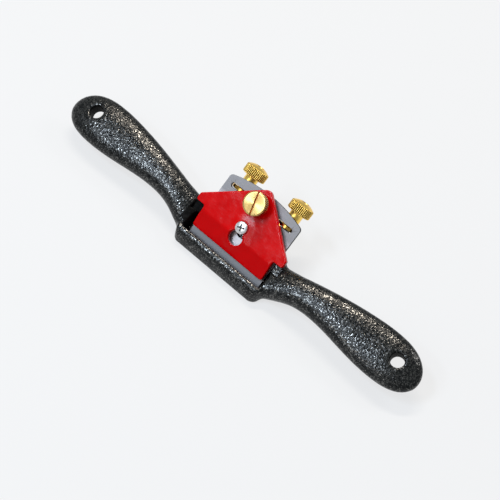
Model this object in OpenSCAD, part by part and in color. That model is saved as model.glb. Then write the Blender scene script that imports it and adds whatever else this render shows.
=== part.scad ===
// Adjustable flat-sole spokeshave for shaping instrument necks.
// X runs along the handles, -Y is the cutting side, +Z is up.
// The origin is the centre of the flat sole.
// Pieces on the bed are drawn in the bed frame: x across, y up the bed
// from the cutting edge line, z square to the blade's upper face.

/* [Overall] */
// Length over both handles
overall_len = 253; // [240:1:270]
// Angle between the bed and the sole
bed_angle = 45; // [42:1:48]

/* [Body] */
// Thickness of each cheek beside the blade
cheek_t = 4.5; // [4:0.25:6]
// Length of the flat sole, front to back
sole_len = 28; // [26:0.5:32]
// Sole in front of the cutting edge
toe_len = 6; // [5:0.5:8]
// Thickness of the bar in front of the mouth
toe_bar = 4.5; // [3.5:0.5:5]
// Height of the bar in front of the mouth
toe_h = 10.4; // [8:0.2:12]
// Extra width of the mouth at each side of the blade's channel
pocket_side = 2; // [1:0.25:3]
// Length of that wide part up the bed
pocket_top = 16; // [14:0.5:18]
// Height of the cheeks over the blade
cheek_crest = 4.4; // [3.5:0.1:5]
// Corner radius of the toe seen from above
toe_corner_r = 4.5; // [3:0.5:6]
// Blade left uncarried at each side of the upper bed
bed_inset = 4.5; // [3:0.5:5.5]
// Thickness of the upper bed
bed_t = 5; // [4:0.5:6]

/* [Handles] */
// Height of the grip's centre above the sole
grip_z = 16; // [14:0.5:20]
// Distance of the grip's centre behind the cutting edge
grip_back = 13.2; // [11:0.1:15]
// Widest part of the grip
grip_w = 28.6; // [26:0.2:30]
// Thickness of the grip
grip_t = 11.2; // [9:0.2:13]
// Narrowest part of the handle, beside the body
waist_w = 17.6; // [15:0.2:19]
// Thickness at the narrowest part
waist_t = 13; // [11:0.5:14]
// Forward lean of the grip's broad face
grip_lean = 25; // [15:1:30]
// Diameter of the hanging holes
hang_d = 8; // [5:0.5:10]
// Distance of the hanging holes from the handle's end
hang_inset = 16; // [12:0.1:18]

/* [Blade] */
// Width of the blade
blade_w = 51; // [48:0.5:52]
// Length at the middle of the arched end
blade_len = 48; // [47:0.5:50]
// Rise of the arched end
blade_arch = 4; // [2:0.5:5]
// Thickness of the blade
blade_t = 2; // [1.6:0.1:2.2]
// Sharpening bevel, on the lower face
bevel_angle = 30; // [25:1:35]
// Distance of the cutting edge up the bed from the sole
edge_setback = 0.3; // [0.2:0.1:0.8]
// Corner radius at the arched end
blade_corner_r = 2.2; // [1:0.1:3]
// Width of the slot for the clamp screw
screw_slot_w = 9; // [7:0.5:10]
// Reach of that slot's straight part below the clamp screw
screw_slot_low = 1.5; // [1:0.5:2.5]
// Reach of that slot's straight part above the clamp screw
screw_slot_high = 3.5; // [3:0.5:5]

/* [Lever cap] */
// Gap between the cap's sides and the cheeks
cap_gap = 0.6; // [0.4:0.1:2]
// Reach of the cap's ears beyond the cheeks
ear_reach = 0.9; // [0.2:0.1:1.5]
// Distance of the cap's lower edge up the bed
cap_low = 9.1; // [8:0.1:11]
// Height of the notches below the ears
cap_side = 12.8; // [11:0.2:14]
// Height of the ears
cap_ear_h = 5; // [4:0.5:7]
// Reach of the cap's tip past the blade's arched end
cap_reach = 3.3; // [2:0.1:4.5]
// Distance from the lower edge to the crease
cap_crease = 10.4; // [9:0.2:12]
// Thickness of the cap
cap_t = 3.4; // [3:0.1:3.6]
// Height of the crease's underside over the blade
cap_arch = 2.4; // [2:0.1:2.8]
// Diameter of the keyhole's round end
key_d = 8.4; // [8:0.1:9]
// Width of the keyhole's slot
key_slot_w = 5.4; // [5:0.1:6]
// Distance the cap slides up to clear the screw head
key_travel = 6.7; // [6:0.1:7.5]

/* [Screws] */
// Distance of the clamp screw up the bed
clamp_at = 25.4; // [25:0.1:26]
// Thread diameter of the clamp screw
clamp_d = 4; // [3.5:0.5:4.5]
// Head diameter of the clamp screw
clamp_head_d = 7.2; // [6.6:0.1:7.6]
// Head height of the clamp screw
clamp_head_h = 2.2; // [1.8:0.1:2.6]
// Distance of the thumbscrew from the cap's tip
thumb_inset = 10.3; // [9.3:0.1:12.3]
// Thread diameter of the thumbscrew
thumb_d = 5; // [4:0.5:6]
// Head diameter of the thumbscrew
thumb_head_d = 13.6; // [12:0.2:15]
// Head height of the thumbscrew
thumb_head_h = 4.6; // [4:0.2:6]
// Gap between the thumbscrew's head and the cap
thumb_gap = 4.4; // [4:0.2:6]

/* [Adjusters] */
// Distance of each adjuster's axis from the blade's side
adjuster_inset = 9; // [8.5:0.1:9.5]
// Depth of an adjuster's axis below the blade's upper face
adjuster_depth = 6.3; // [6.1:0.1:6.6]
// Thread diameter of the adjuster studs
stud_d = 5; // [4:0.5:5.5]
// Diameter of the disc that carries the blade
disc_d = 13.2; // [13:0.1:13.4]
// Thickness of the disc
disc_t = 2; // [1.6:0.1:2.2]
// Distance of the disc's middle from the blade's arched end
disc_inset = 8.2; // [7.8:0.1:8.4]
// Room between the disc and the end of the bed
disc_room = 2.3; // [2.1:0.1:3]
// Diameter of the neck between disc and knob
nut_neck_d = 7.8; // [7:0.1:8]
// Diameter of the knob
knob_d = 14; // [13:0.2:15]
// Length of the knob's knurled part
knob_len = 5; // [4:0.5:7]
// Height of the knob's domed end
knob_dome = 2.3; // [1.5:0.1:2.8]
// Distance from the disc's middle to the knob
knob_reach = 9.4; // [9:0.2:11]

/* [Clearances] */
// Gap between the blade and its bed
slide_gap = 0.1; // [0.05:0.05:0.2]
// Gap between the blade or cap and what it passes
side_gap = 0.5; // [0.3:0.1:0.6]
// Gap between a loose piece and its seat
seat_gap = 0.3; // [0.2:0.05:0.4]
// Radial gap of a thread in its hole
thread_gap = 0.05; // [0.02:0.01:0.1]

/* [Hidden] */

$fn = 64;
eps = 0.01;
far = 60;
overrun = 1;
toe_flat = 0.7;
sole_round_r = 1.5;
fillet_steps = 6;

edge_y = toe_len - sole_len / 2;
mouth_w = blade_w + 2 * side_gap;
body_w = mouth_w + 2 * cheek_t;
body_half = body_w / 2;
heel_h = toe_h / 2;
bed_level = -blade_t - slide_gap;
bed_w = blade_w - 2 * bed_inset;
disc_at = blade_len - disc_inset;
bed_len = disc_at - disc_t / 2 - disc_room;
toe_gap = toe_len - toe_bar;
toe_nose_len = toe_bar - toe_flat;
toe_nose_h = 0.65 * toe_h;
mouth_lip = 1;
pocket_floor = 3;

cap_w = mouth_w - 2 * cap_gap;
cap_ear_w = body_w + 2 * ear_reach;
cap_len = blade_len + cap_reach - cap_low;
cap_ear_low = cap_low + cap_side;
cap_ear_top = cap_ear_low + cap_ear_h;
cap_back_drop = 0.8;
cap_low_lift = seat_gap;
ear_level = cap_arch - seat_gap - cap_back_drop * (cap_ear_h + cap_side - cap_crease)
    / (cap_len - cap_crease);
cheek_inset = 2.5;
cheek_top_at = cap_ear_top - cheek_inset;
cap_top = cap_arch + cap_t;
key_slot_room = 0.4;

clamp_head_level = cap_top + seat_gap / 2;
clamp_depth = 7;
thumb_at = cap_low + cap_len - thumb_inset;
thumb_head_level = cap_top - cap_back_drop + thumb_gap;
adjuster_gap = blade_w - 2 * adjuster_inset;
stud_root = 24;
stud_tip_inset = 3;
boss_floor = 2;
boss_inset = 0.8;
boss_d = 10.4;
boss_len = bed_len - boss_inset - stud_root + boss_floor;
disc_slot_gap = 0.4;
disc_slot_w = disc_t + 2 * disc_slot_gap;
disc_slot_len = 2 * sqrt(pow(disc_d / 2, 2) - pow(adjuster_depth - blade_t, 2)) + 2 * side_gap;
thumb_teeth = 40;
knob_teeth = 42;
nut_len = disc_t / 2 + knob_reach + knob_len + knob_dome;
stud_len = disc_at - disc_t / 2 + nut_len - stud_tip_inset - stud_root;

handle_root_x = body_half - 3;
handle_tip_x = overall_len / 2;
waist_x = body_half + 15;
bulb_x = handle_tip_x - 25;
taper_x = handle_tip_x - 27;
sweep_x = handle_tip_x - 45;
root_w = 21.4;
root_t = 12.1;
root_z = 7.5;
root_back = 8.6;
root_lean = 23;
handle_split_x = body_half + 5.5;
root_stations = 5;
grip_stations = 24;
tip_gather = 1.5;
handle_sides = 28;
section_power = 2.3;
tip_power_w = 2.8;
tip_power_t = 3.4;
tip_cut = 0.02;
hang_offset = 1.8;
tip_droop = 2;
swell_down = 1.7;
swell_forward = 0.5;
swell_len = 24;

body_paint = [0.17, 0.175, 0.19];
cap_paint = [0.78, 0.05, 0.05];
blade_steel = [0.62, 0.62, 0.66];
screw_steel = [0.8, 0.8, 0.82];
brass = [0.83, 0.66, 0.3];

// Moves its children into the bed frame
module on_bed() {
    translate([0, edge_y, 0])
        rotate([bed_angle, 0, 0])
            children();
}

// A side outline, drawn as [y, z], made solid across X
module across(width) {
    translate([-width / 2, 0, 0])
        rotate([90, 0, 90])
            linear_extrude(height = width)
                children();
}

// The place of a bed frame point in a side outline
function side_point(s, h) = [
    edge_y + s * cos(bed_angle) - h * sin(bed_angle),
    s * sin(bed_angle) + h * cos(bed_angle)
];

// Where the bed reaches a height above the sole
function bed_y(z) = edge_y
    + (z - bed_level * cos(bed_angle)) / tan(bed_angle) - bed_level * sin(bed_angle);

// Points of an oval corner between two directions
function oval_arc(cx, cy, rx, ry, from, to) = [
    for (i = [0 : fillet_steps])
        let (a = from + (to - from) * i / fillet_steps)
            [cx + rx * cos(a), cy + ry * sin(a)]
];
function arc(cx, cy, r, from, to) = oval_arc(cx, cy, r, r, from, to);

function clamp01(v) = min(max(v, 0), 1);
function ease(v) = let (c = clamp01(v)) c * c * (3 - 2 * c);
function ease_out(v) = 1 - pow(1 - clamp01(v), 2.6);
function blend(a, b, v) = a + (b - a) * v;

// Centre, half width and half thickness of the handle at a distance x from the middle
function handle_rise(x) = ease_out((x - handle_root_x) / (sweep_x - handle_root_x));
function handle_y(x) = edge_y + blend(root_back, grip_back, handle_rise(x));
function handle_z(x) = blend(root_z, grip_z, handle_rise(x))
    - tip_droop * pow(clamp01((x - bulb_x) / (handle_tip_x - bulb_x)), 2);
// Share of the neck's swell, which is greatest a third of the way along
function neck_swell(x) =
    let (v = clamp01((x - handle_root_x) / swell_len))
        27 / 4 * v * pow(1 - v, 2);
function handle_lean(x) = blend(root_lean, grip_lean, handle_rise(x));
function handle_size(x, root, waist, grip) =
    blend(root, waist, ease((x - handle_root_x) / (waist_x - handle_root_x)))
    + (grip - waist) * ease((x - waist_x) / (bulb_x - waist_x));
function end_round(x, power) =
    sqrt(1 - pow(clamp01((x - taper_x) / (handle_tip_x - taper_x)), power));

// One closed section of the handle, a rounded oval leaning forward
function handle_ring(x) =
    let (
        lean = handle_lean(x),
        forward = swell_forward * neck_swell(x) / 2,
        down = swell_down * neck_swell(x) / 2,
        a = handle_size(x, root_w, waist_w, grip_w) / 2 * end_round(x, tip_power_w) + forward,
        b = handle_size(x, root_t, waist_t, grip_t) / 2 * end_round(x, tip_power_t) + down
    )
    [for (i = [0 : handle_sides - 1])
        let (
            t = 360 * i / handle_sides,
            c = cos(t),
            s = sin(t),
            w = a * sign(c) * pow(abs(c), 2 / section_power),
            n = b * sign(s) * pow(abs(s), 2 / section_power)
        )
        [
            x,
            handle_y(x) - forward + w * cos(lean) - n * sin(lean),
            handle_z(x) - down + w * sin(lean) + n * cos(lean)
        ]
    ];

// Stations gather towards the end, the more the higher the power
function station_x(from, to, count, power) = [
    for (i = [0 : count])
        blend(from, to, 1 - pow(1 - i / count, power))
];

module loft(stations) {
    rings = [for (x = stations) handle_ring(x)];
    n = handle_sides;
    spans = len(stations) - 1;
    side_faces = [
        for (i = [0 : spans - 1], j = [0 : n - 1])
            let (p = i * n + j, q = i * n + (j + 1) % n)
                each [[p, p + n, q], [q, p + n, q + n]]
    ];
    last = spans * n;
    polyhedron(
        points = [for (ring = rings, p = ring) p],
        faces = concat(
            side_faces,
            [[for (j = [0 : n - 1]) j]],
            [[for (j = [n - 1 : -1 : 0]) last + j]]
        ),
        convexity = 6
    );
}

module both_sides() {
    children();
    mirror([1, 0, 0])
        children();
}

// Outline of the body seen from above, with rounded toe corners
module body_plan() {
    front = -sole_len / 2;
    cx = body_half - toe_corner_r;
    cy = front + toe_corner_r;
    polygon(concat(
        arc(cx, cy, toe_corner_r, -90, 0),
        [[body_half, sole_len], [-body_half, sole_len]],
        arc(-cx, cy, toe_corner_r, 180, 270)
    ));
}

// Side outline of the body with its cheeks
module body_side() {
    front = -sole_len / 2;
    polygon(concat(
        arc(front + sole_round_r, sole_round_r, sole_round_r, 180, 270),
        [
            [sole_len / 2, 0],
            [sole_len / 2, heel_h],
            side_point(cheek_top_at, bed_level),
            side_point(cheek_top_at, cheek_crest),
            side_point(pocket_top, cheek_crest),
            [edge_y - toe_gap, toe_h]
        ],
        oval_arc(front + toe_nose_len, toe_h - toe_nose_h, toe_nose_len, toe_nose_h, 90, 180)
    ));
}

// Side outline of the upper bed, with the web that carries it
module upper_bed_side() {
    polygon([
        side_point(mouth_lip / sin(bed_angle) + blade_t, bed_level),
        side_point(bed_len, bed_level),
        side_point(bed_len, bed_level - bed_t),
        [sole_len / 2, heel_h],
        [sole_len / 2, 0],
        [bed_y(mouth_lip), 0]
    ]);
}

// Space over the bed for the blade, open through the sole at the mouth
module blade_channel() {
    across(mouth_w)
        polygon([
            [bed_y(mouth_lip), -eps],
            [bed_y(mouth_lip), mouth_lip],
            side_point(far, bed_level),
            side_point(far, far),
            [edge_y - toe_gap, far],
            [edge_y - toe_gap, -eps]
        ]);
}

// Wider part of the mouth, in front of the seats for the cap's ears
module mouth_pocket() {
    front_level = (pocket_top * cos(bed_angle) + toe_gap) / sin(bed_angle);
    across(mouth_w + 2 * pocket_side)
        polygon([
            [edge_y - toe_gap, pocket_floor],
            [bed_y(pocket_floor), pocket_floor],
            side_point(pocket_top, bed_level),
            side_point(pocket_top, front_level)
        ]);
}

// Seats cut into the tops of the cheeks for the cap's ears
module cap_seat() {
    on_bed()
        translate([-cap_ear_w / 2 - side_gap, pocket_top, ear_level])
            cube([cap_ear_w + 2 * side_gap, far, far]);
}

module adjuster_bosses() {
    both_sides()
        on_bed()
            translate([adjuster_gap / 2, stud_root - boss_floor, -adjuster_depth])
                rotate([-90, 0, 0])
                    cylinder(d = boss_d, h = boss_len);
}

module stud_holes() {
    both_sides()
        on_bed()
            translate([adjuster_gap / 2, stud_root, -adjuster_depth])
                rotate([-90, 0, 0])
                    cylinder(d = stud_d + 2 * thread_gap, h = far);
}

module clamp_hole() {
    on_bed()
        translate([0, clamp_at, bed_level - clamp_depth])
            cylinder(d = clamp_d + 2 * thread_gap, h = far);
}

module hang_hole() {
    x = handle_tip_x - hang_inset;
    translate([x, handle_y(x), handle_z(x)])
        rotate([grip_lean, 0, 0])
            translate([0, hang_offset, -grip_t])
                cylinder(d = hang_d, h = 2 * grip_t);
}

module body_casting() {
    color(body_paint)
        difference() {
            union() {
                intersection() {
                    linear_extrude(height = far)
                        body_plan();
                    across(body_w + overrun)
                        body_side();
                }
                across(bed_w)
                    upper_bed_side();
                adjuster_bosses();
                both_sides()
                    loft(station_x(handle_root_x, handle_split_x, root_stations, 1));
            }
            blade_channel();
            mouth_pocket();
            cap_seat();
            stud_holes();
            clamp_hole();
        }
}

// The handle beyond its root, cast in one with the body
module handle() {
    color(body_paint)
        difference() {
            loft(station_x(handle_split_x, handle_tip_x - tip_cut, grip_stations, tip_gather));
            hang_hole();
        }
}

module right_handle() {
    handle();
}

module left_handle() {
    mirror([1, 0, 0])
        handle();
}

// Outline of the blade: straight edge below, arched end above
module blade_outline() {
    half = blade_w / 2;
    top_r = (half * half + blade_arch * blade_arch) / (2 * blade_arch);
    top_y = blade_len - top_r;
    corner_x = half - blade_corner_r;
    corner_y = top_y + sqrt(pow(top_r - blade_corner_r, 2) - pow(corner_x, 2));
    arch_x = corner_x * top_r / (top_r - blade_corner_r);
    translate([-half, edge_setback])
        square([blade_w, corner_y - edge_setback]);
    intersection() {
        translate([0, top_y])
            circle(r = top_r, $fn = 200);
        translate([-arch_x, edge_setback])
            square([2 * arch_x, blade_len]);
    }
    for (side = [-1, 1])
        translate([side * corner_x, corner_y])
            circle(r = blade_corner_r);
}

// A slot with round ends between two places on one line
module round_slot(from, to, width) {
    length = norm(to - from);
    angle = atan2(to[1] - from[1], to[0] - from[0]);
    translate(from)
        rotate(angle) {
            translate([0, -width / 2])
                square([length, width]);
            circle(d = width);
            translate([length, 0])
                circle(d = width);
        }
}

module blade() {
    slot_end = disc_slot_len / 2 - disc_slot_w / 2;
    color(blade_steel)
        on_bed()
            difference() {
                translate([0, 0, -blade_t])
                    linear_extrude(height = blade_t)
                        difference() {
                            blade_outline();
                            round_slot(
                                [0, clamp_at - screw_slot_low],
                                [0, clamp_at + screw_slot_high],
                                screw_slot_w
                            );
                            for (side = [-1, 1])
                                translate([side * adjuster_gap / 2, disc_at])
                                    round_slot([-slot_end, 0], [slot_end, 0], disc_slot_w);
                        }
                translate([0, edge_setback, 0])
                    rotate([-bevel_angle, 0, 0])
                        translate([-blade_w, -far, -far])
                            cube([2 * blade_w, 2 * far, far]);
            }
}

// Outline of the lever cap seen square to the blade
module cap_outline() {
    half = cap_w / 2;
    ear = cap_ear_w / 2;
    tip_r = 3.5;
    ear_r = 1.5;
    low_r = 1.2;
    offset_len = cap_len - cap_side - cap_ear_h;
    slope = atan2(offset_len, ear);
    tip_y = cap_low + cap_len - tip_r / cos(slope);
    difference() {
        hull() {
            translate([0, tip_y])
                circle(r = tip_r);
            for (side = [-1, 1]) {
                translate([side * (ear - ear_r), cap_ear_top - ear_r])
                    circle(r = ear_r);
                translate([side * (ear - ear_r), cap_ear_low + ear_r])
                    circle(r = ear_r);
                translate([side * (half - low_r), cap_low + low_r])
                    circle(r = low_r);
            }
        }
        for (side = [-1, 1])
            translate([side * (half + ear) / 2, cap_low])
                translate([-(ear - half) / 2 - (side < 0 ? far : 0), -far])
                    square([ear - half + far, far + cap_side]);
    }
}

// Side outline of the cap: raised at the crease, low at the edge
module cap_side_outline() {
    crease = cap_low + cap_crease;
    tip = cap_low + cap_len;
    edge_t = 2.9;
    foot_len = 1.5;
    polygon([
        [cap_low - overrun, cap_low_lift],
        [cap_low + foot_len, cap_low_lift],
        [crease, cap_arch],
        [tip + overrun, cap_arch - cap_back_drop],
        [tip + overrun, cap_top - cap_back_drop],
        [crease, cap_top],
        [cap_low, cap_low_lift + edge_t]
    ]);
}

module lever_cap() {
    key_low = clamp_at - key_travel;
    key_high = clamp_at + key_slot_room;
    color(cap_paint)
        on_bed()
            difference() {
                intersection() {
                    linear_extrude(height = far)
                        cap_outline();
                    across(cap_ear_w)
                        cap_side_outline();
                }
                translate([0, key_low, -overrun])
                    cylinder(d = key_d, h = far);
                translate([0, 0, -overrun])
                    linear_extrude(height = far)
                        round_slot([0, key_low], [0, key_high], key_slot_w);
                translate([0, thumb_at, -overrun])
                    cylinder(d = thumb_d + 2 * thread_gap, h = far);
            }
}

module cap_clamp_screw() {
    recess_w = 1;
    recess_len = 4.4;
    recess_depth = 1.3;
    recess_turn = 20;
    tip_room = 1;
    tip = bed_level - clamp_depth + tip_room;
    color(screw_steel)
        on_bed()
            translate([0, clamp_at, 0])
                difference() {
                    union() {
                        translate([0, 0, tip])
                            cylinder(d = clamp_d, h = clamp_head_level - tip);
                        translate([0, 0, clamp_head_level])
                            cylinder(d = clamp_head_d, h = clamp_head_h);
                    }
                    for (turn = [recess_turn, recess_turn + 90])
                        translate([0, 0, clamp_head_level + clamp_head_h - recess_depth / 2 + eps])
                            rotate([0, 0, turn])
                                cube([recess_len, recess_w, recess_depth], center = true);
                }
}

// A disc with a straight knurl around its rim
module knurled_disc(d, h, teeth) {
    depth = 0.35;
    linear_extrude(height = h)
        polygon([
            for (i = [0 : 2 * teeth - 1])
                let (r = d / 2 - depth * (i % 2))
                    [r * cos(180 * i / teeth), r * sin(180 * i / teeth)]
        ]);
}

module thumbscrew_shank() {
    color(brass)
        on_bed()
            translate([0, thumb_at, seat_gap])
                cylinder(d = thumb_d, h = thumb_head_level - seat_gap);
}

module thumbscrew_head() {
    slot_w = 1;
    slot_depth = 1.1;
    slot_turn = 14.5;
    color(brass)
        on_bed()
            translate([0, thumb_at, thumb_head_level])
                difference() {
                    knurled_disc(thumb_head_d, thumb_head_h, thumb_teeth);
                    translate([0, 0, thumb_head_h])
                        rotate([0, 0, slot_turn])
                            cube([slot_w, thumb_head_d + overrun, 2 * slot_depth], center = true);
                }
}

module adjuster_stud() {
    color(screw_steel)
        on_bed()
            translate([adjuster_gap / 2, stud_root + seat_gap, -adjuster_depth])
                rotate([-90, 0, 0])
                    cylinder(d = stud_d, h = stud_len);
}

// Knurled knob, neck and disc in one turned piece
module adjuster_nut() {
    dome_r = (pow(knob_d / 2, 2) + pow(knob_dome, 2)) / (2 * knob_dome);
    knob_from = disc_t / 2 + knob_reach;
    knob_h = knob_len + knob_dome;
    color(brass)
        on_bed()
            translate([adjuster_gap / 2, disc_at - disc_t / 2, -adjuster_depth])
                rotate([-90, 0, 0])
                    difference() {
                        union() {
                            cylinder(d = disc_d, h = disc_t);
                            cylinder(d = nut_neck_d, h = knob_from + overrun);
                            intersection() {
                                translate([0, 0, knob_from])
                                    knurled_disc(knob_d, knob_h, knob_teeth);
                                translate([0, 0, knob_from + knob_h - dome_r])
                                    sphere(r = dome_r, $fn = 128);
                            }
                        }
                        translate([0, 0, -overrun])
                            cylinder(d = stud_d + 2 * thread_gap, h = far);
                    }
}

module right_adjuster_stud() {
    adjuster_stud();
}

module left_adjuster_stud() {
    mirror([1, 0, 0])
        adjuster_stud();
}

module right_adjuster_nut() {
    adjuster_nut();
}

module left_adjuster_nut() {
    mirror([1, 0, 0])
        adjuster_nut();
}

body_casting();
left_handle();
right_handle();
blade();
lever_cap();
cap_clamp_screw();
thumbscrew_shank();
thumbscrew_head();
left_adjuster_stud();
right_adjuster_stud();
left_adjuster_nut();
right_adjuster_nut();
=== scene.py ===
import math
import bmesh
import bpy
import numpy as np
from mathutils import Matrix, Vector


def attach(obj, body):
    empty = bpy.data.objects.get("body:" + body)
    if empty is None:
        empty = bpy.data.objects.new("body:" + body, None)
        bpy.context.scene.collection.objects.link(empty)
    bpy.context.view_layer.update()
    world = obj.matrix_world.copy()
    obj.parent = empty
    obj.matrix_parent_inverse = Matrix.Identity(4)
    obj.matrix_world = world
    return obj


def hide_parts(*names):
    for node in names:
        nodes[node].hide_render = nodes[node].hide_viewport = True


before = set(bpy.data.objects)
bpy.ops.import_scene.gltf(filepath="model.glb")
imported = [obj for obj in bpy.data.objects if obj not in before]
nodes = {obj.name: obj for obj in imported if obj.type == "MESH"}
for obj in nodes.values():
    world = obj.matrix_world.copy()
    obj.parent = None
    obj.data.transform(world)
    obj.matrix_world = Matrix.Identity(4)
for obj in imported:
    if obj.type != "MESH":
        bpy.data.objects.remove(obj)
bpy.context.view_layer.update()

scene = bpy.context.scene
MM = 0.001

# sizes that the solids have too, in millimetres
EDGE_Y = -8.0
BED = math.radians(45)
BODY_HALF = 30.5
SEAM_X = 36.0
PANEL_LOW = 16.0
SEAT_LEVEL = 1.7
SEAT_HALF = 32.4
MOUTH_HALF = 26.0
HANG_R = 4.0
HANG_X = 110.5
HANG_Y = 6.83
HANG_Z = 16.5
HANG_AXIS = Vector((0, -math.sin(math.radians(25)), math.cos(math.radians(25))))
CLAMP_AT = 25.4
KEY_TRAVEL = 6.7
KEY_R = 4.2
KEY_SLOT_HALF = 2.7
CAP_TOP = 5.8
CAP_BACK_DROP = 0.8
CREASE_AT = 19.5
KEY_SLOT_END = 26.0
THUMB_AT = 41.0
THUMB_D = 5.0
THUMB_HEAD_D = 13.6
THUMB_HEAD_H = 4.6
THUMB_HEAD_LEVEL = 9.4
CLAMP_HEAD_D = 7.2
CLAMP_HEAD_H = 2.2
CLAMP_HEAD_LEVEL = 5.95
ADJUSTER_GAP = 33.0
ADJUSTER_DEPTH = 6.3
STUD_D = 5.0
DISC_AT = 39.8
DISC_D = 13.2
DISC_T = 2.0
NECK_D = 7.8
KNOB_D = 14.0
KNOB_LEN = 5.0
KNOB_DOME = 2.3
KNOB_REACH = 9.4
KNOB_TEETH = 42
HEAD_TEETH = 40
KNURL_DEPTH = 0.35
SLOT_TURN = math.radians(14.5)
CELLS = 900.0
FLOOR_GLOW = 0.7
CASTING_NODES = ("body_casting", "left_handle", "right_handle")


# ---------------------------------------------------------------- places

def bed_matrix(x, along, level, turn=0.0):
    """Frame on the bed: X across, Y up the bed, Z square to the blade."""
    place = Matrix.Translation(Vector((0, EDGE_Y, 0)) * MM) @ Matrix.Rotation(BED, 4, "X")
    return place @ Matrix.Translation(Vector((x, along, level)) * MM) @ Matrix.Rotation(turn, 4, "Z")


def along_bed_matrix(x, along, level):
    """Frame whose Z runs up the bed, for the knobs."""
    return bed_matrix(x, along, level) @ Matrix.Rotation(-math.pi / 2, 4, "X")


# ---------------------------------------------------------------- materials

def new_material(name, colour, metallic, roughness, **sockets):
    mat = bpy.data.materials.new(name)
    mat.use_nodes = True
    shader = mat.node_tree.nodes["Principled BSDF"]
    shader.inputs["Base Color"].default_value = (*colour, 1)
    shader.inputs["Metallic"].default_value = metallic
    shader.inputs["Roughness"].default_value = roughness
    for key, value in sockets.items():
        shader.inputs[key.replace("_", " ")].default_value = value
    return mat, mat.node_tree, shader


def add_node(tree, kind, inputs=None, **settings):
    node = tree.nodes.new(kind)
    for key, value in settings.items():
        setattr(node, key, value)
    for key, value in (inputs or {}).items():
        node.inputs[key].default_value = value
    return node


def object_coords(tree):
    return add_node(tree, "ShaderNodeTexCoord").outputs["Object"]


def noise(tree, coords, scale, detail=2.0, roughness=0.5):
    node = add_node(tree, "ShaderNodeTexNoise",
                    {"Scale": scale, "Detail": detail, "Roughness": roughness})
    tree.links.new(coords, node.inputs["Vector"])
    return node.outputs["Fac"]


def stretched(tree, coords, scale):
    node = add_node(tree, "ShaderNodeMapping", {"Scale": scale})
    tree.links.new(coords, node.inputs["Vector"])
    return node.outputs["Vector"]


def ramp(tree, factor, stops):
    node = add_node(tree, "ShaderNodeValToRGB")
    points = node.color_ramp.elements
    while len(points) < len(stops):
        points.new(0.5)
    for point, (place, colour) in zip(points, stops):
        point.position = place
        point.color = (*colour, 1) if isinstance(colour, tuple) else (colour, colour, colour, 1)
    tree.links.new(factor, node.inputs["Fac"])
    return node.outputs["Color"]


def maths(tree, operation, a, b):
    node = add_node(tree, "ShaderNodeMath", operation=operation)
    for place, value in enumerate((a, b)):
        if isinstance(value, (int, float)):
            node.inputs[place].default_value = value
        else:
            tree.links.new(value, node.inputs[place])
    return node.outputs[0]


def mixed(tree, factor, a, b):
    node = add_node(tree, "ShaderNodeMix", data_type="RGBA")
    for place, value in ((0, factor), (6, a), (7, b)):
        if isinstance(value, tuple):
            node.inputs[place].default_value = (*value, 1)
        elif isinstance(value, float):
            node.inputs[place].default_value = value
        else:
            tree.links.new(value, node.inputs[place])
    return node.outputs[2]


def add_bump(tree, shader, height, distance, strength=1.0):
    node = add_node(tree, "ShaderNodeBump", {"Distance": distance, "Strength": strength})
    tree.links.new(height, node.inputs["Height"])
    before = shader.inputs["Normal"].links
    if before:
        tree.links.new(before[0].from_socket, node.inputs["Normal"])
    tree.links.new(node.outputs["Normal"], shader.inputs["Normal"])


def hammertone():
    """Black enamel drawn into small cells; some shine, and there are silver flecks in it."""
    mat, tree, shader = new_material("hammertone", (0.02, 0.021, 0.022), 0.0, 0.2,
                                     Specular_IOR_Level=0.26)
    coords = object_coords(tree)
    wander = add_node(tree, "ShaderNodeTexNoise", {"Scale": 800.0, "Detail": 2.0})
    tree.links.new(coords, wander.inputs["Vector"])
    shifted = add_node(tree, "ShaderNodeVectorMath", operation="MULTIPLY_ADD")
    tree.links.new(wander.outputs["Color"], shifted.inputs[0])
    shifted.inputs[1].default_value = (0.0014, 0.0014, 0.0014)
    tree.links.new(coords, shifted.inputs[2])
    cells = add_node(tree, "ShaderNodeTexVoronoi", {"Scale": CELLS}, feature="DISTANCE_TO_EDGE")
    tree.links.new(shifted.outputs[0], cells.inputs["Vector"])
    domes = add_node(tree, "ShaderNodeTexVoronoi", {"Scale": CELLS, "Smoothness": 0.5},
                     feature="SMOOTH_F1")
    tree.links.new(shifted.outputs[0], domes.inputs["Vector"])
    veins = ramp(tree, cells.outputs["Distance"], [(0.0, 1.0), (0.08, 0.6), (0.16, 0.0)])
    patches = ramp(tree, noise(tree, coords, 700.0), [(0.42, 0.0), (0.6, 1.0)])
    shown = maths(tree, "MULTIPLY", veins, patches)
    enamel = mixed(tree, shown, (0.002, 0.0025, 0.003), (0.026, 0.028, 0.026))
    grains = add_node(tree, "ShaderNodeTexVoronoi", {"Scale": 2.0 * CELLS})
    tree.links.new(shifted.outputs[0], grains.inputs["Vector"])
    pick = add_node(tree, "ShaderNodeSeparateColor")
    tree.links.new(grains.outputs["Color"], pick.inputs[0])
    fleck = ramp(tree, pick.outputs[0], [(0.76, 0.0), (0.86, 1.0)])
    tree.links.new(mixed(tree, fleck, enamel, (0.13, 0.13, 0.125)), shader.inputs["Base Color"])
    tree.links.new(fleck, shader.inputs["Metallic"])
    chance = add_node(tree, "ShaderNodeSeparateColor")
    tree.links.new(domes.outputs["Color"], chance.inputs[0])
    dullness = ramp(tree, chance.outputs[0], [(0.35, 0.36), (0.7, 0.1)])
    tree.links.new(dullness, shader.inputs["Roughness"])
    add_bump(tree, shader, domes.outputs["Distance"], 0.00014)
    add_bump(tree, shader, noise(tree, coords, 1500.0, 1.0), 0.00005)
    return mat


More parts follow.
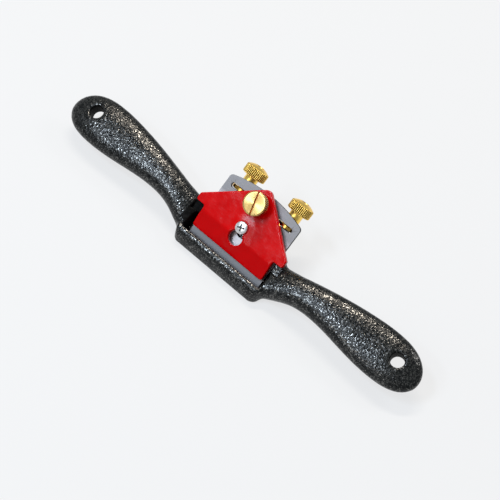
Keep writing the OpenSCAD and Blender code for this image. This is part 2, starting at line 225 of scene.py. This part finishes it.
def shade_black_paint():
    """Painted shade: flat black inside the holes and the mouth, with no cells."""
    mat, tree, shader = new_material("shade_black_paint", (0.003, 0.003, 0.003), 0.0, 0.6, Specular_IOR_Level=0.06)
    coords = object_coords(tree)
    cloud = noise(tree, coords, 500.0, 3.0)
    tree.links.new(ramp(tree, cloud, [(0.4, 0.001), (0.7, 0.008)]), shader.inputs["Base Color"])
    add_bump(tree, shader, cloud, 0.0001)
    return mat


def red_paint():
    mat, tree, shader = new_material("red_paint", (0.7, 0.004, 0.006), 0.0, 0.16, Specular_IOR_Level=0.14)
    coords = object_coords(tree)
    cloud = ramp(tree, noise(tree, coords, 90.0, 4.0), [(0.3, (0.5, 0.0, 0.001)), (0.7, (0.58, 0.001, 0.002))])
    tree.links.new(cloud, shader.inputs["Base Color"])
    wear = ramp(tree, noise(tree, coords, 260.0, 3.0), [(0.3, 0.13), (0.75, 0.2)])
    tree.links.new(wear, shader.inputs["Roughness"])
    add_bump(tree, shader, noise(tree, coords, 110.0, 2.0, 0.4), 0.00025)
    add_bump(tree, shader, noise(tree, stretched(tree, coords, (400.0, 800.0, 800.0)), 1.0), 0.00003)
    return mat


def blade_steel():
    """Ground steel, with a painted highlight that makes it lighter where the cap covers it, and painted shade that
    darkens its narrow sides.
    """
    mat, tree, shader = new_material("blade_steel", (0.3, 0.3, 0.33), 0.9, 0.5)
    coords = object_coords(tree)
    marks = noise(tree, stretched(tree, coords, (60.0, 4200.0, 4200.0)), 1.0, 3.0)
    cloud = noise(tree, coords, 140.0, 5.0, 0.65)
    tone = maths(tree, "ADD", maths(tree, "MULTIPLY", marks, 0.4), maths(tree, "MULTIPLY", cloud, 0.6))
    ground = ramp(tree, tone, [(0.3, (0.17, 0.165, 0.17)), (0.7, (0.24, 0.235, 0.24))])
    facing = add_node(tree, "ShaderNodeVectorMath", operation="DOT_PRODUCT")
    facing.inputs[1].default_value = (0, -math.sin(BED), math.cos(BED))
    tree.links.new(add_node(tree, "ShaderNodeNewGeometry").outputs["True Normal"], facing.inputs[0])
    flat = ramp(tree, maths(tree, "ABSOLUTE", facing.outputs["Value"], 0), [(0.3, 0.0), (0.6, 1.0)])
    upwards = add_node(tree, "ShaderNodeVectorMath", operation="DOT_PRODUCT")
    upwards.inputs[1].default_value = (0, 20 * math.cos(BED), 20 * math.sin(BED))
    tree.links.new(coords, upwards.inputs[0])
    along = maths(tree, "ADD", upwards.outputs["Value"], -20 * EDGE_Y * math.cos(BED) * MM)
    # painted highlight: a lighter band up the bed where the cap covers the blade
    lit_patch = ramp(tree, along, [(0.26, 0.0), (0.32, 1.0), (0.62, 1.0), (0.7, 0.0)])
    lit_ground = mixed(tree, lit_patch, ground, (0.45, 0.44, 0.46))
    # painted shade: the narrow sides turn near-black, and the broad faces keep the ground colour
    tree.links.new(mixed(tree, flat, (0.02, 0.02, 0.022), lit_ground), shader.inputs["Base Color"])
    tree.links.new(ramp(tree, tone, [(0.3, 0.42), (0.7, 0.6)]), shader.inputs["Roughness"])
    add_bump(tree, shader, marks, 0.00004, 0.4)
    return mat


def brass(name, dark, light, sheen=0.0, rough=0.2, grain=0.0):
    """Turned brass; sheen stretches the highlight round the axis."""
    mat, tree, shader = new_material(name, light, 1.0, rough, Anisotropic=sheen)
    coords = object_coords(tree)
    cloud = noise(tree, coords, 260.0, 3.0, 0.5)
    tree.links.new(ramp(tree, cloud, [(0.3, dark), (0.65, light)]), shader.inputs["Base Color"])
    tree.links.new(ramp(tree, cloud, [(0.3, rough), (0.7, rough + 0.1)]), shader.inputs["Roughness"])
    if sheen:
        tangent = add_node(tree, "ShaderNodeTangent", direction_type="RADIAL", axis="Z")
        tree.links.new(tangent.outputs[0], shader.inputs["Tangent"])
    if grain:
        add_bump(tree, shader, noise(tree, coords, 900.0, 2.0), grain)
    return mat


def zinc(name, dark, light):
    mat, tree, shader = new_material(name, (light, light, light), 1.0, 0.34)
    coords = object_coords(tree)
    cloud = noise(tree, coords, 500.0, 4.0, 0.6)
    tree.links.new(ramp(tree, cloud, [(0.25, dark), (0.7, light)]), shader.inputs["Base Color"])
    tree.links.new(ramp(tree, cloud, [(0.3, 0.26), (0.7, 0.46)]), shader.inputs["Roughness"])
    add_bump(tree, shader, cloud, 0.00005, 0.6)
    return mat


def painted_recess_shade(name, colour):
    """Painted shade: dark dull metal at the bottom of a slot or recess, mottled at random."""
    mat, tree, shader = new_material(name, colour, 0.0, 0.75)
    coords = object_coords(tree)
    shade = tuple(0.5 * part for part in colour)
    tree.links.new(ramp(tree, noise(tree, coords, 700.0, 3.0), [(0.35, shade), (0.65, colour)]),
                   shader.inputs["Base Color"])
    return mat


def set_material(ob, mat):
    ob.data.materials.clear()
    ob.data.materials.append(mat)


# ---------------------------------------------------------------- mesh helpers

def new_object(name, mesh, matrix=None):
    ob = bpy.data.objects.new(name, mesh)
    scene.collection.objects.link(ob)
    if matrix is not None:
        ob.matrix_world = matrix
    bpy.context.view_layer.update()
    return ob


def welded_copy(node):
    """A new mesh of a solid's faces, with the corners that meet joined."""
    work = bmesh.new()
    work.from_mesh(nodes[node].data)
    bmesh.ops.remove_doubles(work, verts=work.verts, dist=1e-6)
    mesh = bpy.data.meshes.new(node + "_skin")
    work.to_mesh(mesh)
    work.free()
    return mesh


def baked(ob):
    """Applies the object's modifiers and puts the result in its place."""
    graph = bpy.context.evaluated_depsgraph_get()
    mesh = bpy.data.meshes.new_from_object(ob.evaluated_get(graph))
    ob.modifiers.clear()
    ob.data = mesh
    return ob


def casting_copy():
    """The casting's three solids as one mesh, without the faces they share."""
    work = bmesh.new()
    for node in CASTING_NODES:
        work.from_mesh(nodes[node].data)
    seam = [face for face in work.faces if abs(face.normal.x) > 0.999
            and abs(abs(face.calc_center_median().x) / MM - SEAM_X) < 0.01]
    bmesh.ops.delete(work, geom=seam, context="FACES_ONLY")
    bmesh.ops.remove_doubles(work, verts=work.verts, dist=1e-6)
    mesh = bpy.data.meshes.new("casting_skin")
    work.to_mesh(mesh)
    work.free()
    return mesh


def voxel_skin(name, mesh, voxel):
    ob = new_object(name, mesh)
    remesh = ob.modifiers.new("remesh", "REMESH")
    remesh.mode = "VOXEL"
    remesh.voxel_size = voxel
    return baked(ob)


def mesh_points(mesh):
    points = np.empty(len(mesh.vertices) * 3)
    mesh.vertices.foreach_get("co", points)
    return points.reshape(-1, 3)


def mesh_normals(mesh):
    normals = np.empty(len(mesh.vertices) * 3)
    mesh.vertices.foreach_get("normal", normals)
    return normals.reshape(-1, 3)


def on_bed(points):
    """Places in the bed frame, in millimetres."""
    turn = np.array(bed_matrix(0, 0, 0).inverted())
    return (points @ turn[:3, :3].T + turn[:3, 3]) / MM


def set_points(mesh, points):
    mesh.vertices.foreach_set("co", points.ravel())
    mesh.update()


class Net:
    """The edges of a mesh, for moving each corner towards its neighbours."""

    def __init__(self, mesh):
        edges = np.empty(len(mesh.edges) * 2, int)
        mesh.edges.foreach_get("vertices", edges)
        edges = edges.reshape(-1, 2)
        self.ends = np.concatenate([edges[:, 0], edges[:, 1]])
        self.others = np.concatenate([edges[:, 1], edges[:, 0]])
        self.count = len(mesh.vertices)
        self.degree = np.maximum(np.bincount(self.ends, minlength=self.count), 1)

    def offset(self, points):
        mean = np.stack([
            np.bincount(self.ends, points[self.others, k], self.count) / self.degree for k in range(3)
        ], 1)
        return mean - points


def smooth_all(mesh, net, rounds, weight):
    points = mesh_points(mesh)
    for _ in range(rounds):
        points += 0.5 * weight[:, None] * net.offset(points)
    set_points(mesh, points)


def fill_hollows(mesh, net, rounds, weight):
    """Smooths outwards only, so inner corners become fillets and outer ones stay."""
    points = mesh_points(mesh)
    for turn in range(rounds):
        if turn % 5 == 0:
            set_points(mesh, points)
            normals = mesh_normals(mesh)
        step = net.offset(points)
        rise = np.maximum((step * normals).sum(1), 0)
        points += 0.7 * weight[:, None] * rise[:, None] * normals
    set_points(mesh, points)


def shade_smooth(ob):
    ob.data.polygons.foreach_set("use_smooth", [True] * len(ob.data.polygons))


def ease(value):
    value = np.clip(value, 0, 1)
    return value * value * (3 - 2 * value)


def lathe(name, profile, sides, radius_at=None):
    """A closed ring profile of (radius, height) in millimetres, turned about Z."""
    angles = np.linspace(0, 2 * math.pi, sides, endpoint=False)
    rows = []
    for radius, height in profile:
        reach = np.full(sides, radius) if radius_at is None else radius_at(radius, height, angles)
        rows.append(np.stack([reach * np.cos(angles), reach * np.sin(angles), np.full(sides, height)], 1))
    points = np.concatenate(rows) * MM
    count = len(profile)
    faces = []
    for i in range(count):
        for j in range(sides):
            a, b = i * sides + j, i * sides + (j + 1) % sides
            c, d = (i + 1) % count * sides + j, (i + 1) % count * sides + (j + 1) % sides
            faces.append((a, b, d, c))
    mesh = bpy.data.meshes.new(name)
    mesh.from_pydata(points.tolist(), [], faces)
    mesh.update()
    return mesh


def capped_lathe(name, profile, sides, radius_at=None):
    """A turned solid whose profile starts and ends near the axis."""
    mesh = lathe(name, profile, sides, radius_at)
    work = bmesh.new()
    work.from_mesh(mesh)
    last = (len(profile) - 1) * sides
    wrap = [f for f in work.faces if min(v.index for v in f.verts) < sides
            and max(v.index for v in f.verts) >= last and len(profile) > 2]
    bmesh.ops.delete(work, geom=wrap, context="FACES_ONLY")
    work.verts.ensure_lookup_table()
    work.faces.new([work.verts[j] for j in range(sides)][::-1])
    work.faces.new([work.verts[last + j] for j in range(sides)])
    bmesh.ops.recalc_face_normals(work, faces=work.faces)
    work.to_mesh(mesh)
    work.free()
    return mesh


def cut_with(ob, cutters):
    for place, cutter in enumerate(cutters):
        cut = ob.modifiers.new(f"cut{place}", "BOOLEAN")
        cut.object = cutter
        cut.operation = "DIFFERENCE"
        cut.solver = "EXACT"
    baked(ob)
    for cutter in cutters:
        bpy.data.objects.remove(cutter)


def box_object(name, size, matrix):
    work = bmesh.new()
    bmesh.ops.create_cube(work, size=1)
    bmesh.ops.scale(work, vec=Vector(size) * MM, verts=work.verts)
    mesh = bpy.data.meshes.new(name)
    work.to_mesh(mesh)
    work.free()
    return new_object(name, mesh, matrix)


def smooth_by_angle(ob, degrees):
    shade_smooth(ob)
    ob.data.set_sharp_from_angle(angle=math.radians(degrees))


def soft_edges(ob, width, degrees=35):
    """Joins a solid's faces and rounds its sharp edges a little."""
    ob.modifiers.new("weld", "WELD").merge_threshold = 1e-6
    bevel = ob.modifiers.new("bevel", "BEVEL")
    bevel.width = width * MM
    bevel.segments = 2
    bevel.limit_method = "ANGLE"
    bevel.angle_limit = math.radians(degrees)
    shade_smooth(ob)
    ob.data.set_sharp_from_angle(angle=math.radians(degrees))
    flat = ob.modifiers.new("flat", "WEIGHTED_NORMAL")
    flat.weight = 100


def ride_for(ob, body, node):
    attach(ob, body)
    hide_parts(node)


def finish_piece(ob, body, node, mat):
    set_material(ob, mat)
    ride_for(ob, body, node)


# ---------------------------------------------------------------- the casting

def paint_shaded_walls(ob):
    """Gives the second material, painted shade, to the holes' walls, the cheeks' inner sides and the left seat's
    floor.
    """
    for face in ob.data.polygons:
        centre = face.center / MM
        across = abs(centre.x)
        if across > HANG_X - 8:
            from_hole = Vector((across - HANG_X, centre.y - HANG_Y, centre.z - HANG_Z))
            sideways = from_hole - from_hole.dot(HANG_AXIS) * HANG_AXIS
            wall = sideways.length < HANG_R + 0.25 and abs(face.normal.dot(HANG_AXIS)) < 0.6
        else:
            # painted shade: the cheeks' inner walls beside the mouth, and the up-facing seat floor on the left
            # side only
            beside = MOUTH_HALF - 0.4 < across < SEAT_HALF
            up_bed = face.normal.z - face.normal.y > 0.9 and centre.z > PANEL_LOW * math.sin(BED)
            wall = beside and (face.normal.x * centre.x < -0.45 * across or centre.x < 0 and up_bed)
        if wall:
            face.material_index = 1


def casting_skin(mat, shade_mat):
    ob = voxel_skin("casting_skin", casting_copy(), 0.38 * MM)
    mesh = ob.data
    net = Net(mesh)
    points = mesh_points(mesh)
    across = np.abs(points[:, 0]) / MM
    _, along, level = on_bed(points).T
    in_seat = ease((along - PANEL_LOW + 1.5) / 1.5) * ease((level - SEAT_LEVEL + 1.5) / 1.5)
    in_seat *= ease((SEAT_HALF + 1 - across) / 1)
    neck = ease((across - BODY_HALF + 1.2) / 1.2) * ease((BODY_HALF + 20 - across) / 12)
    fill_hollows(mesh, net, 600, neck * (1 - in_seat))
    smooth_all(mesh, net, 6, np.ones(net.count))
    corner = ease((across - BODY_HALF + 4) / 2) * ease((PANEL_LOW - along) / 2)
    smooth_all(mesh, net, 30, corner)
    grip = ease((across - BODY_HALF - 3) / 8)
    smooth_all(mesh, net, 30, grip)
    points = mesh_points(mesh)
    points[:, 2] = np.maximum(points[:, 2], 0)
    set_points(mesh, points)
    shade_smooth(ob)
    set_material(ob, mat)
    # second material: flat black painted shade for the hole walls, the cheeks' inner sides and the left seat
    mesh.materials.append(shade_mat)
    paint_shaded_walls(ob)
    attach(ob, "casting")
    for node in CASTING_NODES:
        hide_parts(node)


# ---------------------------------------------------------------- the cap

def cap_skin(mat):
    ob = voxel_skin("cap_skin", welded_copy("lever_cap"), 0.22 * MM)
    mesh = ob.data
    net = Net(mesh)
    smooth_all(mesh, net, 9, np.ones(net.count))
    smooth_all(mesh, net, 60, np.exp(-((on_bed(mesh_points(mesh))[:, 1] - CREASE_AT) / 2) ** 2))
    points = mesh_points(mesh)
    local = on_bed(points)
    up = np.clip(mesh_normals(mesh) @ np.array(bed_matrix(0, 0, 0).to_3x3())[:, 2], 0, 1)
    top = ease((up - 0.4) / 0.4) * ease((local[:, 2] - 2.4) / 0.4)
    low = CLAMP_AT - KEY_TRAVEL
    from_round = np.hypot(local[:, 0], local[:, 1] - low) - KEY_R
    beyond = local[:, 1] - np.clip(local[:, 1], low, KEY_SLOT_END)
    from_slot = np.hypot(local[:, 0], beyond) - KEY_SLOT_HALF
    swell = 0.3 * np.exp(-((np.minimum(from_round, from_slot) - 0.6) / 2.6) ** 2) * top
    waves = 0.015 * np.sin(local[:, 0] * 0.9 + 1.3 * np.sin(local[:, 1] * 0.35)) * np.sin(local[:, 1] * 0.7)
    normal = np.array(bed_matrix(0, 0, 0).to_3x3())[:, 2]
    points += ((swell + waves * top) * MM)[:, None] * normal
    set_points(mesh, points)
    shade_smooth(ob)
    finish_piece(ob, "cap", "lever_cap", mat)


# ---------------------------------------------------------------- turned pieces

def knurl(teeth, low, high):
    """Radius with a straight knurl between two heights, fading at both ends."""
    def reach(radius, height, angles):
        fade = float(ease((height - low) / 0.3) * ease((high - height) / 0.3))
        wave = 0.5 + 0.5 * np.cos(teeth * angles)
        return radius - KNURL_DEPTH * fade * (1 - wave) ** 1.5
    return reach


def shade_grooves(ob, teeth, radius, low, high):
    """Gives the bottoms of a knurl the piece's second material, a painted shade."""
    for face in ob.data.polygons:
        centre = face.center / MM
        at_rim = math.hypot(centre.x, centre.y) > radius - 1.5 * KNURL_DEPTH
        if at_rim and low < centre.z < high and math.cos(teeth * math.atan2(centre.y, centre.x)) < -0.15:
            face.material_index = 1


def dome_profile(radius, rise, base, steps, inner):
    """Points of a shallow dome from its rim to an inner radius."""
    ball = (radius ** 2 + rise ** 2) / (2 * rise)
    rim = math.asin(radius / ball)
    hole = math.asin(inner / ball)
    angles = [rim + (hole - rim) * i / steps for i in range(steps + 1)]
    return [(ball * math.sin(a), base + rise - ball + ball * math.cos(a)) for a in angles]


def knob(side, mat, groove_mat, disc_mat):
    """Disc, neck and knurled knob with a domed end and a bore."""
    bore = STUD_D / 2 + 0.05
    start = DISC_T + KNOB_REACH - DISC_T / 2
    rim = start + KNOB_LEN
    knob_r = KNOB_D / 2 - 0.02
    disc_r = DISC_D / 2
    neck_r = NECK_D / 2
    profile = [(bore, 0.0), (disc_r - 0.25, 0.0), (disc_r, 0.25), (disc_r, DISC_T - 0.25),
               (disc_r - 0.25, DISC_T), (neck_r + 0.35, DISC_T), (neck_r + 0.1, DISC_T + 0.1),
               (neck_r, DISC_T + 0.35)]
    profile += [(neck_r, DISC_T + 0.35 + (start - DISC_T - 0.7) * i / 4) for i in range(1, 5)]
    profile += [(neck_r + 0.1, start - 0.1), (neck_r + 0.35, start), (knob_r - 0.65, start),
                (knob_r - 0.2, start + 0.15), (knob_r, start + 0.45)]
    profile += [(knob_r, start + 0.45 + (rim - start - 0.65) * i / 7) for i in range(1, 8)]
    profile += dome_profile(knob_r - 0.12, KNOB_DOME - 0.1, rim - 0.02, 12, bore + 0.35)
    crown = profile[-1][1]
    profile += [(bore + 0.1, crown - 0.05), (bore, crown - 0.3), (bore, crown * 0.5)]
    mesh = lathe("knob", profile, KNOB_TEETH * 8, knurl(KNOB_TEETH, start + 0.1, rim + 0.35))
    mesh.materials.append(mat)
    mesh.materials.append(groove_mat)
    mesh.materials.append(disc_mat)
    ob = new_object("right_knob" if side > 0 else "left_knob", mesh,
                    along_bed_matrix(side * ADJUSTER_GAP / 2, DISC_AT - DISC_T / 2, -ADJUSTER_DEPTH))
    work = bmesh.new()
    work.from_mesh(mesh)
    bmesh.ops.recalc_face_normals(work, faces=work.faces)
    work.to_mesh(mesh)
    work.free()
    smooth_by_angle(ob, 40)
    shade_grooves(ob, KNOB_TEETH, knob_r, start + 0.3, rim + 0.2)
    # the disc faces get the darker brass, a painted shade
    for face in mesh.polygons:
        if face.center.z < (DISC_T + 0.05) * MM:
            face.material_index = 2
    name = "right" if side > 0 else "left"
    ride_for(ob, name + "_nut", name + "_adjuster_nut")


def thumb_head(mat, slot_mat, groove_mat):
    """Knurled head with its screwdriver slot."""
    radius = THUMB_HEAD_D / 2 - 0.02
    top = THUMB_HEAD_H
    profile = [(0.4, 0.0), (2.6, 0.0), (radius - 0.5, 0.0), (radius - 0.15, 0.12), (radius, 0.4)]
    profile += [(radius, 0.4 + (top - 1.0) * i / 7) for i in range(1, 8)]
    profile += [(radius - 0.12, top - 0.35), (radius - 0.42, top - 0.1), (radius - 0.75, top - 0.02)]
    profile += [(radius * (1 - i / 7) - 0.5 * (i < 1), top - 0.02 + 0.02 * i / 6) for i in range(1, 7)]
    profile += [(0.3, top)]
    mesh = capped_lathe("thumb", profile, HEAD_TEETH * 8, knurl(HEAD_TEETH, 0.1, top - 0.3))
    place = bed_matrix(0, THUMB_AT, THUMB_HEAD_LEVEL)
    ob = new_object("thumbscrew_top", mesh, place)
    cutter = box_object("slot", (1.0, THUMB_HEAD_D + 2, 2.2),
                        place @ Matrix.Rotation(SLOT_TURN, 4, "Z")
                        @ Matrix.Translation(Vector((0, 0, top)) * MM))
    cut_with(ob, [cutter])
    smooth_by_angle(ob, 40)
    set_material(ob, mat)
    ob.data.materials.append(groove_mat)
    shade_grooves(ob, HEAD_TEETH, radius, 0.3, top - 0.4)
    # third material: painted shade in the screwdriver slot
    ob.data.materials.append(slot_mat)
    floor_level = (top - 1.05) * MM
    turned = Matrix.Rotation(-SLOT_TURN, 3, "Z")
    for face in ob.data.polygons:
        centre = turned @ face.center
        inside = abs(centre.x) < 0.51 * MM and face.center.z > floor_level - 0.0001
        if inside and abs(face.normal.z) < 0.5 or inside and face.center.z < floor_level + 0.0001:
            face.material_index = 2
    ride_for(ob, "thumb_head", "thumbscrew_head")


def thread_reach(pitch, depth, low, high):
    def reach(radius, height, angles):
        phase = (height / pitch - angles / (2 * math.pi)) % 1.0
        fade = float(ease((height - low) / 0.5) * ease((high - height) / 0.5))
        return radius - depth * fade * np.abs(2 * phase - 1)
    return reach


def thumb_shank(mat):
    length = THUMB_HEAD_LEVEL - 0.3
    radius = THUMB_D / 2
    steps = 90
    profile = [(0.3, 0.0), (radius - 0.5, 0.0), (radius - 0.02, 0.4)]
    profile += [(radius - 0.02, 0.4 + (length - 0.5) * i / steps) for i in range(1, steps + 1)]
    profile += [(0.3, length)]
    mesh = capped_lathe("shank", profile, 48, thread_reach(0.8, 0.38, 0.3, length - 0.3))
    ob = new_object("thumbscrew_thread", mesh, bed_matrix(0, THUMB_AT, 0.3))
    smooth_by_angle(ob, 50)
    finish_piece(ob, "thumb_shank", "thumbscrew_shank", mat)


def clamp_screw(mat, recess_mat):
    """Domed head with a cross recess, and its shank."""
    radius = CLAMP_HEAD_D / 2 - 0.02
    shank = 2.0
    tip = -2.1 - 6.0
    head = CLAMP_HEAD_LEVEL
    profile = [(0.3, tip), (shank - 0.4, tip), (shank, tip + 0.4), (shank, head - 0.02), (radius - 0.2, head),
               (radius, head + 0.2), (radius, head + 1.25), (radius - 0.12, head + 1.5)]
    profile += dome_profile(radius - 0.3, 0.55, head + 1.62, 7, 0.5)
    mesh = capped_lathe("clamp", profile, 64)
    place = bed_matrix(0, CLAMP_AT, 0)
    ob = new_object("clamp_screw", mesh, place)
    cutters = []
    for turn in (20, 110):
        blade_place = place @ Matrix.Rotation(math.radians(turn), 4, "Z")
        blade_place = blade_place @ Matrix.Translation(Vector((0, 0, head + CLAMP_HEAD_H - 0.3)) * MM)
        cutters.append(box_object("recess", (4.2, 0.95, 2.0), blade_place))
    cut_with(ob, cutters)
    smooth_by_angle(ob, 40)
    finish_piece(ob, "casting", "cap_clamp_screw", mat)
    # second material: painted shade in the cross recess
    ob.data.materials.append(recess_mat)
    recess_low = (head + 0.5) * MM
    for face in ob.data.polygons:
        middle = math.hypot(face.center.x, face.center.y) < 2.2 * MM
        if middle and face.center.z > recess_low and face.center.z < (head + 1.9) * MM:
            face.material_index = 1


# ---------------------------------------------------------------- the room

def floor():
    work = bmesh.new()
    bmesh.ops.create_grid(work, x_segments=8, y_segments=8, size=4.0)
    mesh = bpy.data.meshes.new("floor")
    work.to_mesh(mesh)
    work.free()
    ob = new_object("floor", mesh, Matrix.Translation((0, 0, -0.00005)))
    mat = bpy.data.materials.new("floor_paper")
    mat.use_nodes = True
    tree = mat.node_tree
    tree.nodes.clear()
    paper = add_node(tree, "ShaderNodeBsdfDiffuse", {"Color": (0.15, 0.155, 0.16, 1)})
    glow = add_node(tree, "ShaderNodeEmission", {"Color": (0.99, 0.993, 1, 1)})
    path = add_node(tree, "ShaderNodeLightPath")
    mirrored = maths(tree, "MAXIMUM", path.outputs["Is Glossy Ray"], path.outputs["Is Transmission Ray"])
    seen = maths(tree, "MAXIMUM", path.outputs["Is Camera Ray"], mirrored)
    tree.links.new(maths(tree, "MULTIPLY", seen, FLOOR_GLOW), glow.inputs["Strength"])
    both = add_node(tree, "ShaderNodeAddShader")
    out = add_node(tree, "ShaderNodeOutputMaterial")
    tree.links.new(paper.outputs[0], both.inputs[0])
    tree.links.new(glow.outputs[0], both.inputs[1])
    tree.links.new(both.outputs[0], out.inputs["Surface"])
    ob.data.materials.append(mat)


def area_light(name, direction, distance, size, power, colour):
    data = bpy.data.lights.new(name, "AREA")
    data.shape = "RECTANGLE"
    data.size, data.size_y = size
    data.energy = power
    data.color = colour
    ob = bpy.data.objects.new(name, data)
    scene.collection.objects.link(ob)
    away = Vector(direction).normalized()
    ob.location = away * distance
    ob.rotation_mode = "QUATERNION"
    ob.rotation_quaternion = away.to_track_quat("Z", "Y")


def lights():
    world = bpy.data.worlds.new("room")
    world.use_nodes = True
    scene.world = world
    back = world.node_tree.nodes["Background"]
    back.inputs["Color"].default_value = (0.93, 0.97, 1.0, 1)
    back.inputs["Strength"].default_value = 0.34
    area_light("overhead", (-0.3, -0.42, 0.86), 1.3, (0.34, 0.16), 6.5, (0.76, 0.87, 1.0))
    area_light("brow", (-0.3, -0.62, 0.72), 1.3, (0.34, 0.12), 4, (0.76, 0.87, 1.0))
    area_light("rear", (-0.3, 0.3, 0.9), 1.2, (0.6, 0.1), 9, (1.0, 0.9, 0.78))
    area_light("front", (-0.08, -0.81, 0.54), 1.5, (0.4, 0.45), 2, (1.0, 0.99, 0.97))
    area_light("side", (0.4, 0.66, 0.64), 1.3, (0.3, 0.3), 3, (1.0, 0.98, 0.95))


def camera():
    """The photograph's viewing angle, from a fit of the object's corners."""
    turn = Matrix(((0.735148, 0.652766, 0.182902), (0.609863, -0.51902, -0.598904),
                   (-0.296014, 0.551828, -0.779655)))
    shift = Vector((-12.152, 4.3333, 750.0)) * MM
    data = bpy.data.cameras.new("camera")
    data.sensor_width = 36
    data.lens = 1364.398 / 500 * 36
    data.clip_start, data.clip_end = 0.05, 20
    ob = bpy.data.objects.new("camera", data)
    scene.collection.objects.link(ob)
    right, down, forward = turn
    place = Matrix((right, -down, -forward)).transposed().to_4x4()
    place.translation = -(turn.transposed() @ shift)
    ob.matrix_world = place
    scene.camera = ob


# ---------------------------------------------------------------- the whole

def dress():
    casting_skin(hammertone(), shade_black_paint())
    cap_skin(red_paint())
    knob_brass = brass("knob_brass", (0.95, 0.6, 0.13), (1.0, 0.71, 0.18), rough=0.3)
    # painted shade: near-black brass for the knurls' groove bottoms
    groove_shade_brass = brass("groove_shade_brass", (0.04, 0.012, 0.001), (0.09, 0.03, 0.003), rough=0.5)
    # painted shade: a darker copy of the knob brass for the discs down in the blade's slots; the low roughness is
    # the turned rim
    disc_shaded_brass = brass("disc_shaded_brass", (0.5, 0.27, 0.05), (0.8, 0.5, 0.12), rough=0.1)
    for side in (-1, 1):
        knob(side, knob_brass, groove_shade_brass, disc_shaded_brass)
    head_brass = brass("head_brass", (0.54, 0.37, 0.13), (0.66, 0.46, 0.18), sheen=0.75, rough=0.26, grain=0.00001)
    thumb_head(head_brass, painted_recess_shade("slot_shade", (0.7, 0.22, 0.03)), groove_shade_brass)
    thumb_shank(knob_brass)
    dull_metal = zinc("stud_steel", 0.1, 0.2)
    clamp_screw(zinc("zinc", 0.62, 0.95), painted_recess_shade("recess_shade", (0.09, 0.085, 0.08)))
    set_material(nodes["blade"], blade_steel())
    soft_edges(nodes["blade"], 0.15)
    for side in ("left", "right"):
        set_material(nodes[side + "_adjuster_stud"], dull_metal)
        soft_edges(nodes[side + "_adjuster_stud"], 0.3)


dress()
floor()
lights()
camera()
scene.view_settings.view_transform = "Standard"
